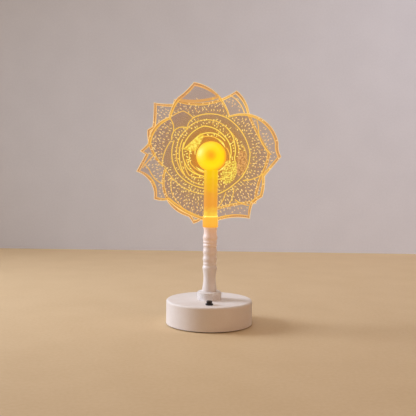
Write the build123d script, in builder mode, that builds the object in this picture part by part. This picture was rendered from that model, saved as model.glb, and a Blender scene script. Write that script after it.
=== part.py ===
from build123d import *
import os
from math import cos, radians, sin, sqrt

os.makedirs("parts", exist_ok=True)

# Table lamp with two clear rose plates that turn about a hub behind a glowing globe.
# Millimetres, +Z up, origin at the centre of the underside, front of the lamp towards -Y.

# Base housing
base_radius = 52.0
base_height = 29.5
base_edge_round = 2.2
base_wall = 2.5
base_top_thickness = 3.0
foot_pad_thickness = 1.2
foot_pad_inset = 3.0
base_plate_thickness = 2.5
base_plate_clearance = 0.25

# Screws of the base
screw_count = 4
screw_boss_radius = 3.5
screw_boss_wall_gap = 2.0
screw_radius = 1.5
screw_head_radius = 2.8
screw_head_height = 1.6
screw_length = 11.0
screw_clearance = 0.05

# Steel ballast on the base plate
ballast_boss_gap = 2.5
ballast_thickness = 5.0
ballast_board_gap = 6.0
ballast_screw_inset = 14.0
ballast_screw_count = 3
ballast_screw_length = 6.5

# Battery
battery_length = 50.0
battery_width = 22.0
battery_thickness = 8.0
battery_switch_gap = 1.5
battery_corner_round = 1.5
battery_tape_thickness = 0.5
battery_tape_margin = 3.0

# Control board at the rear, with its inlet in the wall of the base
board_width = 30.0
board_depth = 24.5
board_thickness = 1.6
board_wall_gap = 0.67
board_underside = 9.0
board_screw_margin = 3.0
standoff_radius = 2.6
board_screw_radius = 1.0
board_screw_head_radius = 1.9
board_screw_head_height = 1.4
board_screw_length = 5.5
port_width = 8.94
port_height = 3.26
port_length = 7.3
port_overhang = 1.8
port_wall = 0.3
port_back_wall = 1.0
port_tongue_width = 6.7
port_tongue_thickness = 0.7
port_tongue_setback = 0.6
inlet_clearance = 0.35
driver_chip_size = 5.0
driver_chip_height = 1.0
driver_chip_inset = 11.0
coil_radius = 2.6
coil_height = 2.6
coil_x = 8.6
capacitor_radius = 1.6
capacitor_height = 3.0
capacitor_spacing = 4.0
capacitor_x = -7.0

# Push switch in front of the column
switch_inset = 16.5
switch_flange_radius = 4.45
switch_flange_height = 1.6
switch_body_radius = 4.0
switch_body_bottom = 16.0
switch_hole_clearance = 0.1
switch_bore_radius = 3.35
switch_floor_thickness = 3.5
switch_nut_radius = 6.35
switch_nut_height = 2.6
switch_terminal_spacing = 4.0
switch_terminal_width = 1.6
switch_terminal_thickness = 0.6
switch_terminal_length = 4.0
button_radius = 3.28
button_stand_out = 3.4
button_bottom_height = 25.0
button_edge_round = 0.7
switch_spring_radius = 2.7
switch_spring_wire = 0.5

# Column: collar, turned stem and the threaded tube that clamps them
collar_radius = 14.5
collar_height = 9.8
collar_chamfer = 0.8
stem_radius = 8.9
stem_length = 77.9
threaded_tube_radius = 5.0
threaded_tube_bore_radius = 3.5
threaded_tube_clearance = 0.15
thread_stand_out = 2.0
lock_washer_radius = 8.0
lock_washer_thickness = 1.0
column_nut_radius = 8.6
column_nut_height = 4.0

# Amber socket on the stem and the tube that stands in it
socket_wall = 1.1
socket_height = 12.4
socket_edge_round = 0.5
socket_heel_round = 0.7
socket_floor_thickness = 3.0
socket_spigot_radius = 6.5
socket_spigot_length = 4.8
socket_fit = 0.1
socket_nut_radius = 7.2
socket_nut_height = 3.0
socket_thread_stand_out = 1.5
socket_ring_wall = 0.6
socket_ring_height = 1.4
socket_ring_round = 0.4
light_tube_radius = 8.3
light_tube_wall = 2.2
light_tube_spigot_step = 0.8
light_tube_spigot_length = 3.0
carrier_radius = 3.0
carrier_bore_radius = 2.2
carrier_plug_length = 10.0
carrier_plug_clearance = 0.05
carrier_shoulder_radius = 4.8
carrier_shoulder_height = 2.0
carrier_socket_depth = 2.6
strip_width = 3.2
strip_thickness = 0.6
strip_gap = 0.05
strip_end_margin = 4.0
strip_chip_count = 8
strip_chip_size = 1.6
strip_chip_height = 0.7

# Globe and the block inside it
hub_height = 202.3
globe_radius = 18.0
globe_wall = 1.6
globe_mouth_fit = 0.1
globe_rear_hole_radius = 4.3
hub_block_width = 8.0
hub_block_height = 12.0
hub_block_edge = 0.6
globe_board_radius = 6.5
globe_board_thickness = 1.0
globe_chip_count = 6
globe_chip_circle_radius = 4.6
globe_chip_length = 2.0
globe_chip_width = 1.6
globe_chip_height = 0.8

# Hub behind the globe, along Y
spindle_radius = 3.0
spindle_bore_radius = 1.6
spindle_clearance = 0.05
spindle_depth_in_block = 2.6
seat_gap = 0.05
hub_flange_radius = 17.0
hub_flange_thickness = 2.0
hub_spigot_radius = 4.2
hub_spigot_length = 1.7
slip_washer_thickness = 0.5
running_gap = 0.1
plate_thickness = 2.5
plate_spacer_thickness = 1.0
wave_washer_thickness = 0.8
light_bush_radius = 12.92
light_bush_bore_radius = 11.0
running_fit = 0.08
washer_fit = 0.05
hub_board_radius = 8.6
hub_board_thickness = 1.2
hub_chip_count = 12
hub_chip_circle_radius = 7.9
hub_chip_depth = 1.2
hub_chip_width = 2.4
hub_chip_height = 2.4
hub_cap_radius = 17.5
hub_cap_thickness = 3.5
hub_cap_round = 1.4
hub_cap_boss_radius = 4.5
cap_nut_radius = 5.6
cap_nut_height = 4.0
cap_nut_dome_radius = 4.4
cap_nut_dome_height = 3.4
cap_nut_dome_round = 3.0

# Rose plates: reach from the hub to the furthest tip, and what is cut into their front faces
rose_reach = 98.0
engraving_width = 1.3
band_width = 3.4
engraving_depth = 0.35
border_outer_share = 0.964
border_inner_share = 0.946

# Leads
lead_radius = 0.6
lead_bend_radius = 2.4
thin_lead_radius = 0.4
thin_lead_bend_radius = 1.0
lead_pair_spacing = 2.2
thin_lead_pair_spacing = 1.2
main_lead_rise = 4.0
main_lead_inset = 5.0
battery_lead_spacing = 14.0
battery_lead_rise = 4.0
battery_lead_inset = 3.4
switch_lead_drop = 1.6
switch_lead_side_gap = 0.8
switch_lead_rise = 1.4
switch_lead_inset = 6.0
hub_lead_setback = 2.3
hub_lead_rise = 6.6
lead_window_radius = 1.3
lead_end_gap = 0.05

# Silhouette of the stem: spans of shares of its length and of its greatest radius.
# A span of three points is an arc, and a longer one is a smooth curve.
stem_span_shares = [
    [(0.000, 0.93), (0.040, 0.985), (0.100, 0.91), (0.160, 0.85), (0.220, 0.83), (0.290, 0.89), (0.338, 0.95)],
    [(0.338, 0.95), (0.366, 1.00), (0.396, 0.92)],
    [(0.396, 0.92), (0.411, 0.865), (0.424, 0.895)],
    [(0.424, 0.895), (0.436, 0.92), (0.448, 0.89)],
    [(0.448, 0.89), (0.460, 0.88), (0.496, 0.98), (0.560, 0.865), (0.623, 0.965), (0.680, 0.875), (0.700, 0.88)],
    [(0.700, 0.88), (0.721, 0.95), (0.738, 0.885)],
    [(0.738, 0.885), (0.747, 0.862), (0.756, 0.885)],
    [(0.756, 0.885), (0.769, 0.95), (0.782, 0.90)],
    [(0.782, 0.90), (0.790, 0.885), (0.822, 0.97), (0.880, 0.915), (0.934, 0.865), (0.975, 0.91), (1.000, 0.975)],
]

# Plate outlines: angle clockwise from the top, reach share, and the bulge share of the next arc's chord
front_plate_shares = [
    (346.0, 0.952, 0.155), (23.5, 0.560, 0.235), (78.0, 0.860, -0.08), (89.3, 0.878, 0.00),
    (109.4, 0.716, 0.05), (127.5, 0.820, -0.05), (138.4, 0.797, -0.04), (147.2, 0.920, -0.08),
    (178.0, 0.832, 0.07), (224.5, 0.775, 0.08), (232.8, 0.897, -0.19), (258.0, 0.960, 0.00),
    (271.0, 0.826, 0.00), (273.7, 0.897, -0.03), (281.0, 0.812, 0.15), (312.0, 0.726, 0.06),
    (329.5, 0.848, -0.04),
]
rear_plate_shares = [
    (312.4, 0.990, -0.03), (323.2, 0.817, 0.00), (326.6, 0.857, -0.12), (20.2, 0.885, 0.10),
    (40.3, 0.728, -0.02), (85.7, 0.746, 0.05), (109.0, 0.694, -0.04), (135.4, 0.820, -0.05),
    (183.7, 0.728, 0.10), (194.4, 0.878, -0.05), (200.0, 0.810, 0.230), (255.0, 0.605, 0.13),
    (292.0, 0.870, 0.00), (296.4, 0.830, -0.02),
]

# Engraved lines of the petals, clockwise: start angle and reach share, end angle and reach share, bulge share
front_line_shares = [
    (334.3, 0.534, 22.0, 0.520, 0.12), (22.0, 0.520, 85.0, 0.487, 0.11), (85.0, 0.487, 140.0, 0.449, 0.12),
    (140.0, 0.449, 176.0, 0.487, 0.06), (288.0, 0.370, 345.5, 0.392, 0.13), (345.5, 0.392, 31.3, 0.304, 0.11),
    (31.3, 0.304, 92.0, 0.240, 0.14), (112.0, 0.330, 168.0, 0.290, 0.15), (190.0, 0.405, 243.0, 0.470, 0.10),
    (243.0, 0.470, 292.0, 0.505, 0.12), (195.0, 0.258, 240.0, 0.325, 0.08), (240.0, 0.325, 296.0, 0.386, 0.12),
    (51.0, 0.725, 62.0, 0.665, 0.06), (62.0, 0.665, 73.0, 0.655, -0.05), (73.0, 0.655, 87.0, 0.750, -0.05),
    (107.7, 0.680, 125.7, 0.500, 0.09), (260.0, 0.867, 272.0, 0.700, 0.03), (240.0, 0.700, 256.5, 0.790, 0.10),
    (256.5, 0.790, 264.0, 0.860, -0.06), (292.4, 0.537, 318.8, 0.468, 0.30), (304.0, 0.575, 312.0, 0.710, -0.12),
    (142.0, 0.770, 150.0, 0.620, 0.06), (285.0, 0.352, 332.0, 0.305, 0.01), (332.0, 0.305, 8.0, 0.292, 0.09),
    (8.0, 0.292, 40.0, 0.262, 0.08), (28.0, 0.410, 60.0, 0.335, 0.08), (60.0, 0.335, 92.0, 0.290, 0.07),
    (92.0, 0.290, 112.0, 0.330, 0.03), (236.0, 0.402, 268.0, 0.398, 0.07), (268.0, 0.398, 300.0, 0.418, 0.07),
]
rear_line_shares = [
    (343.0, 0.470, 30.0, 0.403, 0.14), (30.0, 0.403, 84.0, 0.349, 0.12), (84.0, 0.349, 134.0, 0.368, 0.10),
    (279.0, 0.277, 338.0, 0.266, 0.14), (338.0, 0.266, 33.0, 0.225, 0.14), (60.0, 0.222, 125.0, 0.248, 0.15),
    (195.0, 0.372, 241.0, 0.414, 0.10), (241.0, 0.414, 288.0, 0.450, 0.11), (288.0, 0.450, 317.6, 0.456, 0.10),
    (317.6, 0.456, 343.0, 0.470, 0.10), (200.0, 0.216, 250.0, 0.272, 0.10), (250.0, 0.272, 279.0, 0.277, 0.07),
    (185.0, 0.478, 228.0, 0.537, 0.07), (228.0, 0.537, 256.0, 0.610, 0.03), (315.9, 0.705, 327.5, 0.671, 0.03),
    (327.5, 0.671, 334.3, 0.534, 0.06), (258.0, 0.630, 290.0, 0.545, 0.08), (143.6, 0.490, 161.0, 0.665, 0.07),
    (157.5, 0.490, 172.5, 0.650, 0.07), (257.5, 0.630, 271.0, 0.760, 0.02), (197.0, 0.780, 224.0, 0.685, 0.06),
    (224.0, 0.685, 242.0, 0.560, 0.08), (17.0, 0.800, 36.0, 0.690, 0.10), (103.0, 0.350, 122.0, 0.470, 0.14),
    (70.0, 0.420, 108.0, 0.440, 0.13), (318.8, 0.468, 334.3, 0.534, 0.10), (226.0, 0.285, 262.0, 0.315, 0.08),
    (199.0, 0.262, 226.0, 0.285, 0.06), (230.0, 0.364, 254.0, 0.350, 0.05), (201.0, 0.285, 230.0, 0.364, 0.07),
]

# Broad engraved band that closes off the top petal, written as the lines are
front_band_shares = [(331.0, 0.795, 7.0, 0.755, -0.06)]

# Heights along the column, and places in the base
base_plate_top = foot_pad_thickness + base_plate_thickness
base_ceiling = base_height - base_top_thickness
base_inner_radius = base_radius - base_wall
screw_circle_radius = base_inner_radius - screw_boss_wall_gap - screw_boss_radius
ballast_top = base_plate_top + ballast_thickness
battery_bottom = ballast_top + battery_tape_thickness
board_top = board_underside + board_thickness
board_rear_y = sqrt(base_inner_radius**2 - (board_width / 2)**2) - board_wall_gap
board_front_y = board_rear_y - board_depth
board_centre_y = board_rear_y - board_depth / 2
driver_chip_y = board_front_y + driver_chip_inset
ballast_radius = screw_circle_radius - screw_boss_radius - ballast_boss_gap
ballast_screw_circle_radius = ballast_radius - ballast_screw_inset
ballast_rear_edge = board_front_y - ballast_board_gap
switch_y = switch_inset - base_radius
battery_centre_y = switch_y + switch_body_radius + battery_switch_gap + battery_width / 2
collar_top = base_height + collar_height
stem_top = collar_top + stem_length
socket_floor_top = stem_top + socket_floor_thickness
socket_top = stem_top + socket_height
socket_nut_top = socket_floor_top + socket_nut_height
threaded_tube_bottom = base_ceiling - lock_washer_thickness - column_nut_height - thread_stand_out
threaded_tube_top = socket_nut_top + socket_thread_stand_out
light_tube_bore_radius = light_tube_radius - light_tube_wall
light_tube_spigot_radius = light_tube_radius - light_tube_spigot_step
socket_radius = light_tube_radius + socket_wall
socket_ring_radius = light_tube_radius + socket_ring_wall
globe_mouth_radius = light_tube_spigot_radius + globe_mouth_fit
globe_mouth_height = hub_height - sqrt(globe_radius**2 - globe_mouth_radius**2)
hub_block_bottom = hub_height - hub_block_height / 2
hub_block_top = hub_height + hub_block_height / 2
carrier_top = hub_block_bottom + carrier_socket_depth

# Depths along the hub, behind the axis of the column
flange_front = sqrt(globe_radius**2 - globe_rear_hole_radius**2) + seat_gap
flange_rear = flange_front + hub_flange_thickness
slip_washer_rear = flange_rear + slip_washer_thickness
front_plate_front = slip_washer_rear + running_gap
front_plate_rear = front_plate_front + plate_thickness
spacer_front = front_plate_rear + running_gap
spacer_rear = spacer_front + plate_spacer_thickness
rear_plate_front = spacer_rear + running_gap
rear_plate_rear = rear_plate_front + plate_thickness
wave_washer_front = rear_plate_rear + running_gap
hub_cap_front = wave_washer_front + wave_washer_thickness
hub_cap_rear = hub_cap_front + hub_cap_thickness
hub_board_rear = flange_rear + hub_board_thickness
hub_lead_y = hub_board_rear + hub_lead_setback
spindle_front = hub_block_width / 2 - spindle_depth_in_block
spindle_rear = hub_cap_rear + cap_nut_height
plate_bore_radius = light_bush_radius + running_fit

# One overrun for every cut that has to break through a face
overrun = 1.0

on_top = (Align.CENTER, Align.CENTER, Align.MIN)
hanging = (Align.CENTER, Align.CENTER, Align.MAX)


def hub_plane(depth):
    """Plane across the hub's axis at a depth behind the column, seen from the front."""
    return Plane(origin=(0, depth, hub_height), x_dir=(1, 0, 0), z_dir=(0, -1, 0))


def hub_disc(front, rear, radius, mode=Mode.ADD):
    """Round disc about the hub's axis, between two depths."""
    with BuildSketch(hub_plane(rear)) as section:
        Circle(radius)
    extrude(section.sketch, amount=rear - front, mode=mode)


def disc(bottom, top, radius, mode=Mode.ADD):
    """Round disc about the column's axis, between two heights."""
    with BuildSketch(Plane.XY.offset(bottom)) as section:
        Circle(radius)
    extrude(section.sketch, amount=top - bottom, mode=mode)


def countersunk_screw(length, grow, mode=Mode.ADD):
    """Countersunk screw with its head down, or its hole where it is grown by a clearance."""
    Cone(screw_head_radius + grow, screw_radius + grow, screw_head_height, align=on_top, mode=mode)
    Cylinder(screw_radius + grow, length, align=on_top, mode=mode)


def lead_run(points, radius, bend_radius):
    """Insulated lead: straight runs joined by tangent bends."""
    with BuildLine() as path:
        FilletPolyline(*points, radius=bend_radius)
    with BuildSketch(Plane(origin=path.line @ 0, z_dir=path.line % 0)) as section:
        Circle(radius)
    sweep(section.sketch, path=path.line)


def polar_point(angle, reach_share):
    """Point of a rose plate: angle clockwise from the top, and a share of the reach."""
    reach = reach_share * rose_reach
    return (reach * sin(radians(angle)), reach * cos(radians(angle)))


def chord_arc(start, end, bulge_share):
    """Arc from start to end whose height is a share of its chord, or a straight line for none."""
    chord = Vector(*end) - Vector(*start)
    if bulge_share:
        return SagittaArc(start, end, chord.length * bulge_share)
    return Line(start, end)


def plate_face(corner_shares, size_share):
    """Face inside a rose plate's outline, corner after corner, drawn at a share of its size."""
    with BuildSketch() as face:
        with BuildLine():
            for index, (angle, reach_share, bulge_share) in enumerate(corner_shares):
                next_angle, next_reach_share, _ = corner_shares[(index + 1) % len(corner_shares)]
                chord_arc(polar_point(angle, reach_share * size_share),
                          polar_point(next_angle, next_reach_share * size_share), bulge_share)
        make_face()
    return face.sketch


def engraved_line(line_shares, width):
    """Rounded line along one arc between two points of a rose plate."""
    start_angle, start_share, end_angle, end_share, bulge_share = line_shares
    arc = chord_arc(polar_point(start_angle, start_share), polar_point(end_angle, end_share), bulge_share)
    with BuildSketch() as line:
        SlotArc(arc, width)
    return line.sketch


# Foot pad: dark sheet that the lamp stands on
with BuildPart() as foot_pad:
    disc(0, foot_pad_thickness, base_radius - foot_pad_inset)

# Base plate: closes the housing from below and carries the ballast and the board
with BuildPart() as base_plate:
    disc(foot_pad_thickness, base_plate_top, base_inner_radius - base_plate_clearance)
    with BuildSketch(Plane.XY.offset(base_plate_top)):
        with Locations((0, board_centre_y)):
            with GridLocations(board_width - 2 * board_screw_margin, board_depth - 2 * board_screw_margin, 2, 2):
                Circle(standoff_radius)
    extrude(amount=board_underside - base_plate_top)
    with Locations((0, board_centre_y, board_underside)):
        with GridLocations(board_width - 2 * board_screw_margin, board_depth - 2 * board_screw_margin, 2, 2):
            Cylinder(board_screw_radius + screw_clearance, board_screw_length, align=hanging, mode=Mode.SUBTRACT)
    with Locations((0, 0, foot_pad_thickness)):
        with PolarLocations(screw_circle_radius, screw_count, start_angle=45):
            countersunk_screw(screw_length, screw_clearance, Mode.SUBTRACT)
        with PolarLocations(ballast_screw_circle_radius, ballast_screw_count, start_angle=-90):
            countersunk_screw(ballast_screw_length, screw_clearance, Mode.SUBTRACT)

# Base housing: moulded cup with screw bosses, open below
with BuildPart() as base_shell:
    disc(foot_pad_thickness, base_height, base_radius)
    fillet(base_shell.edges().group_by(Axis.Z)[-1], base_edge_round)
    disc(foot_pad_thickness, base_ceiling, base_inner_radius, Mode.SUBTRACT)
    with BuildSketch(Plane.XY.offset(base_plate_top)):
        with PolarLocations(screw_circle_radius, screw_count, start_angle=45):
            Circle(screw_boss_radius)
            Circle(screw_radius + screw_clearance, mode=Mode.SUBTRACT)
    extrude(amount=base_ceiling - base_plate_top)
    disc(base_ceiling - overrun, base_height + overrun, threaded_tube_radius + threaded_tube_clearance, Mode.SUBTRACT)
    with BuildSketch(Plane.XY.offset(base_ceiling - overrun)):
        with Locations((0, switch_y)):
            Circle(switch_body_radius + switch_hole_clearance)
    extrude(amount=base_top_thickness + 2 * overrun, mode=Mode.SUBTRACT)
    with BuildSketch(Plane.XZ.offset(-base_radius - overrun)):
        with Locations((0, board_top + port_height / 2)):
            SlotOverall(port_width + 2 * inlet_clearance, port_height + 2 * inlet_clearance)
    extrude(amount=base_wall + 2 * overrun, mode=Mode.SUBTRACT)

with BuildPart() as base_screws:
    with Locations((0, 0, foot_pad_thickness)):
        with PolarLocations(screw_circle_radius, screw_count, start_angle=45):
            countersunk_screw(screw_length, 0)

# Ballast: round steel slab, cut straight at the rear to leave room for the board
with BuildPart() as ballast_plate:
    disc(base_plate_top, ballast_top, ballast_radius)
    with BuildSketch(Plane.XY.offset(base_plate_top)):
        with Locations((0, ballast_rear_edge)):
            Rectangle(2 * ballast_radius, ballast_radius, align=(Align.CENTER, Align.MIN))
    extrude(amount=ballast_thickness, mode=Mode.SUBTRACT)
    with Locations((0, 0, foot_pad_thickness)):
        with PolarLocations(ballast_screw_circle_radius, ballast_screw_count, start_angle=-90):
            Cylinder(screw_radius + screw_clearance, ballast_screw_length, align=on_top, mode=Mode.SUBTRACT)

with BuildPart() as ballast_screws:
    with Locations((0, 0, foot_pad_thickness)):
        with PolarLocations(ballast_screw_circle_radius, ballast_screw_count, start_angle=-90):
            countersunk_screw(ballast_screw_length, 0)

# Battery: flat cell taped to the ballast
with BuildPart() as battery_tape:
    with Locations((0, battery_centre_y, ballast_top)):
        Box(battery_length - 2 * battery_tape_margin, battery_width - 2 * battery_tape_margin,
            battery_tape_thickness, align=on_top)

with BuildPart() as battery_pack:
    with Locations((0, battery_centre_y, battery_bottom)):
        Box(battery_length, battery_width, battery_thickness, align=on_top)
    fillet(battery_pack.edges().filter_by(Axis.X), battery_corner_round)

# Control board, its screws and what is soldered to it
with BuildPart() as control_board:
    with Locations((0, board_centre_y, board_underside)):
        Box(board_width, board_depth, board_thickness, align=on_top)
        with GridLocations(board_width - 2 * board_screw_margin, board_depth - 2 * board_screw_margin, 2, 2):
            Cylinder(board_screw_radius + screw_clearance, board_thickness, align=on_top, mode=Mode.SUBTRACT)

with BuildPart() as board_screws:
    with Locations((0, board_centre_y, board_top)):
        with GridLocations(board_width - 2 * board_screw_margin, board_depth - 2 * board_screw_margin, 2, 2):
            Cylinder(board_screw_head_radius, board_screw_head_height, align=on_top)
            Cylinder(board_screw_radius, board_screw_length, align=hanging)

with BuildPart() as board_chips:
    with Locations((0, driver_chip_y, board_top)):
        Box(driver_chip_size, driver_chip_size, driver_chip_height, align=on_top)
    with Locations((coil_x, driver_chip_y, board_top)):
        Cylinder(coil_radius, coil_height, align=on_top)
    with Locations((capacitor_x, driver_chip_y, board_top)):
        with GridLocations(capacitor_spacing, capacitor_spacing, 1, 2):
            Cylinder(capacitor_radius, capacitor_height, align=on_top)

port_mouth_y = board_rear_y + port_overhang
with BuildPart() as usb_port:
    with BuildSketch(Plane.XZ.offset(-port_mouth_y)):
        with Locations((0, board_top + port_height / 2)):
            SlotOverall(port_width, port_height)
    extrude(amount=port_length)
    with BuildSketch(Plane.XZ.offset(-port_mouth_y)):
        with Locations((0, board_top + port_height / 2)):
            SlotOverall(port_width - 2 * port_wall, port_height - 2 * port_wall)
    extrude(amount=port_length - port_back_wall, mode=Mode.SUBTRACT)
    with BuildSketch(Plane.XZ.offset(-port_mouth_y + port_tongue_setback)):
        with Locations((0, board_top + port_height / 2)):
            Rectangle(port_tongue_width, port_tongue_thickness)
    extrude(amount=port_length - port_back_wall - port_tongue_setback)

# Push switch: flanged housing through the top of the base, nut, terminals, spring and black cap
switch_floor_top = switch_body_bottom + switch_floor_thickness
with BuildPart() as switch_housing:
    with Locations((0, switch_y, base_height)):
        Cylinder(switch_flange_radius, switch_flange_height, align=on_top)
        Cylinder(switch_body_radius, base_height - switch_body_bottom, align=hanging)
    with Locations((0, switch_y, switch_floor_top)):
        Cylinder(switch_bore_radius, base_height + switch_flange_height - switch_floor_top,
                 align=on_top, mode=Mode.SUBTRACT)

with BuildPart() as switch_nut:
    with BuildSketch(Plane.XY.offset(base_ceiling)):
        with Locations((0, switch_y)):
            RegularPolygon(switch_nut_radius, 6)
            Circle(switch_body_radius + screw_clearance, mode=Mode.SUBTRACT)
    extrude(amount=-switch_nut_height)

with BuildPart() as switch_terminals:
    with Locations((0, switch_y, switch_body_bottom)):
        with GridLocations(switch_terminal_spacing, switch_terminal_spacing, 2, 1):
            Box(switch_terminal_thickness, switch_terminal_width, switch_terminal_length, align=hanging)

button_top = base_height + switch_flange_height + button_stand_out
with BuildPart() as power_button:
    with Locations((0, switch_y, button_bottom_height)):
        Cylinder(button_radius, button_top - button_bottom_height, align=on_top)
    fillet(power_button.edges().group_by(Axis.Z)[-1], button_edge_round)

with BuildPart() as switch_spring:
    with Locations((0, switch_y, switch_floor_top)):
        Cylinder(switch_spring_radius, button_bottom_height - switch_floor_top, align=on_top)
        Cylinder(switch_spring_radius - switch_spring_wire, button_bottom_height - switch_floor_top,
                 align=on_top, mode=Mode.SUBTRACT)

# Column collar: short turned ring with a bevelled top edge
column_bore_radius = threaded_tube_radius + threaded_tube_clearance
with BuildPart() as column_collar:
    disc(base_height, collar_top, collar_radius)
    chamfer(column_collar.edges().group_by(Axis.Z)[-1], collar_chamfer)
    disc(base_height, collar_top, column_bore_radius, Mode.SUBTRACT)


def stem_point(height_share, radius_share):
    """Point of the stem's silhouette in the plane of the sketch."""
    return (radius_share * stem_radius, collar_top + height_share * stem_length)


# Stem: turned column with beads and grooves, bored for the threaded tube and the socket's spigot
with BuildPart() as stem:
    with BuildSketch(Plane.XZ):
        with BuildLine():
            for span in stem_span_shares:
                points = [stem_point(height_share, radius_share) for height_share, radius_share in span]
                if len(points) == 3:
                    ThreePointArc(*points)
                else:
                    Spline(*points)
            Polyline(stem_point(*stem_span_shares[-1][-1]), (0, stem_top), (0, collar_top),
                     stem_point(*stem_span_shares[0][0]))
        make_face()
    revolve(axis=Axis.Z)
    disc(collar_top, stem_top, column_bore_radius, Mode.SUBTRACT)
    disc(stem_top - socket_spigot_length - socket_fit, stem_top, socket_spigot_radius + socket_fit, Mode.SUBTRACT)

# Threaded tube with the washer and nut that clamp the column to the base
with BuildPart() as threaded_tube:
    disc(threaded_tube_bottom, threaded_tube_top, threaded_tube_radius)
    disc(threaded_tube_bottom, threaded_tube_top, threaded_tube_bore_radius, Mode.SUBTRACT)

with BuildPart() as lock_washer:
    disc(base_ceiling - lock_washer_thickness, base_ceiling, lock_washer_radius)
    disc(base_ceiling - lock_washer_thickness, base_ceiling, column_bore_radius, Mode.SUBTRACT)

with BuildPart() as column_nut:
    with BuildSketch(Plane.XY.offset(base_ceiling - lock_washer_thickness)):
        RegularPolygon(column_nut_radius, 6)
        Circle(threaded_tube_radius + screw_clearance, mode=Mode.SUBTRACT)
    extrude(amount=-column_nut_height)

# Socket: amber ferrule with a spigot in the stem, held by a nut on the threaded tube
with BuildPart() as socket:
    disc(stem_top, socket_top, socket_radius)
    fillet(socket.edges().group_by(Axis.Z)[-1], socket_edge_round)
    fillet(socket.edges().group_by(Axis.Z)[0], socket_heel_round)
    disc(stem_top - socket_spigot_length, stem_top, socket_spigot_radius)
    disc(socket_floor_top, socket_top, light_tube_radius + socket_fit, Mode.SUBTRACT)
    disc(stem_top - socket_spigot_length, socket_top, column_bore_radius, Mode.SUBTRACT)

with BuildPart() as socket_nut:
    with BuildSketch(Plane.XY.offset(socket_floor_top)):
        RegularPolygon(socket_nut_radius, 6)
        Circle(threaded_tube_radius + screw_clearance, mode=Mode.SUBTRACT)
    extrude(amount=socket_nut_height)

with BuildPart() as socket_ring:
    disc(socket_top, socket_top + socket_ring_height, socket_ring_radius)
    fillet(socket_ring.edges().group_by(Axis.Z)[-1], socket_ring_round)
    disc(socket_top, socket_top + socket_ring_height, light_tube_radius + socket_fit, Mode.SUBTRACT)

# Light tube: amber tube from the socket's nut to the globe, with a spigot that centres the globe
with BuildPart() as light_tube:
    disc(socket_nut_top, globe_mouth_height, light_tube_radius)
    disc(globe_mouth_height, globe_mouth_height + light_tube_spigot_length, light_tube_spigot_radius)
    disc(socket_nut_top, globe_mouth_height + light_tube_spigot_length, light_tube_bore_radius, Mode.SUBTRACT)

# Carrier: thin tube inside the light tube, with a plug in the threaded tube and a shoulder on it
with BuildPart() as carrier_tube:
    disc(threaded_tube_top - carrier_plug_length, threaded_tube_top,
         threaded_tube_bore_radius - carrier_plug_clearance)
    disc(threaded_tube_top, threaded_tube_top + carrier_shoulder_height, carrier_shoulder_radius)
    disc(threaded_tube_top + carrier_shoulder_height, carrier_top, carrier_radius)
    disc(threaded_tube_top - carrier_plug_length, carrier_top, carrier_bore_radius, Mode.SUBTRACT)

# Light strips on the front and back of the carrier, and their chips
strip_bottom = threaded_tube_top + carrier_shoulder_height + strip_end_margin
strip_length = globe_mouth_height - strip_end_margin - strip_bottom
strip_face = carrier_radius + strip_gap + strip_thickness
with BuildPart() as tube_led_strips:
    for side in (-1, 1):
        with Locations((0, side * (strip_face - strip_thickness / 2), strip_bottom)):
            Box(strip_width, strip_thickness, strip_length, align=on_top)

strip_chip_pitch = strip_length / strip_chip_count
with BuildPart() as tube_led_chips:
    for side in (-1, 1):
        for chip in range(strip_chip_count):
            chip_height = strip_bottom + (chip + 0.5) * strip_chip_pitch
            with Locations((0, side * (strip_face + strip_chip_height / 2), chip_height)):
                Box(strip_chip_size, strip_chip_height, strip_chip_size)

# Globe: hollow amber ball with a mouth below and a hole behind
with BuildPart() as globe:
    with Locations((0, 0, hub_height)):
        Sphere(globe_radius)
        Sphere(globe_radius - globe_wall, mode=Mode.SUBTRACT)
    disc(hub_height - globe_radius, hub_height - globe_radius / 2, globe_mouth_radius, Mode.SUBTRACT)
    hub_disc(globe_radius / 2, globe_radius, globe_rear_hole_radius, Mode.SUBTRACT)

# Hub block: joins the carrier from below and the spindle from behind, and carries the globe's light
with BuildPart() as hub_block:
    with Locations((0, 0, hub_height)):
        Box(hub_block_width, hub_block_width, hub_block_height)
    chamfer(hub_block.edges().filter_by(Axis.Z), hub_block_edge)
    disc(hub_block_bottom, carrier_top, carrier_radius + spindle_clearance, Mode.SUBTRACT)
    disc(hub_block_bottom, hub_height + spindle_bore_radius, carrier_bore_radius, Mode.SUBTRACT)
    hub_disc(spindle_front, hub_block_width / 2, spindle_radius + spindle_clearance, Mode.SUBTRACT)
    hub_disc(0, hub_block_width / 2, spindle_bore_radius, Mode.SUBTRACT)

globe_board_top = hub_block_top + globe_board_thickness
with BuildPart() as globe_led_board:
    disc(hub_block_top, globe_board_top, globe_board_radius)

with BuildPart() as globe_led_chips:
    with Locations((0, 0, globe_board_top)):
        Box(globe_chip_length, globe_chip_length, globe_chip_height, align=on_top)
        with PolarLocations(globe_chip_circle_radius, globe_chip_count):
            Box(globe_chip_length, globe_chip_width, globe_chip_height, align=on_top)

# Hub spindle: hollow, from the block through the globe's rear hole to the cap nut
with BuildPart() as hub_spindle:
    hub_disc(spindle_front, spindle_rear, spindle_radius)
    hub_disc(spindle_front, hub_cap_front, spindle_bore_radius, Mode.SUBTRACT)
    with Locations((0, hub_lead_y, hub_height)):
        Cylinder(lead_window_radius, spindle_radius + overrun, align=on_top, mode=Mode.SUBTRACT)

# Hub flange: centred in the globe's rear hole, front seat of the plates' stack
with BuildPart() as hub_flange:
    hub_disc(flange_front, flange_rear, hub_flange_radius)
    hub_disc(flange_front - hub_spigot_length, flange_front, hub_spigot_radius)
    hub_disc(flange_front - hub_spigot_length, flange_rear, spindle_radius + spindle_clearance, Mode.SUBTRACT)

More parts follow.
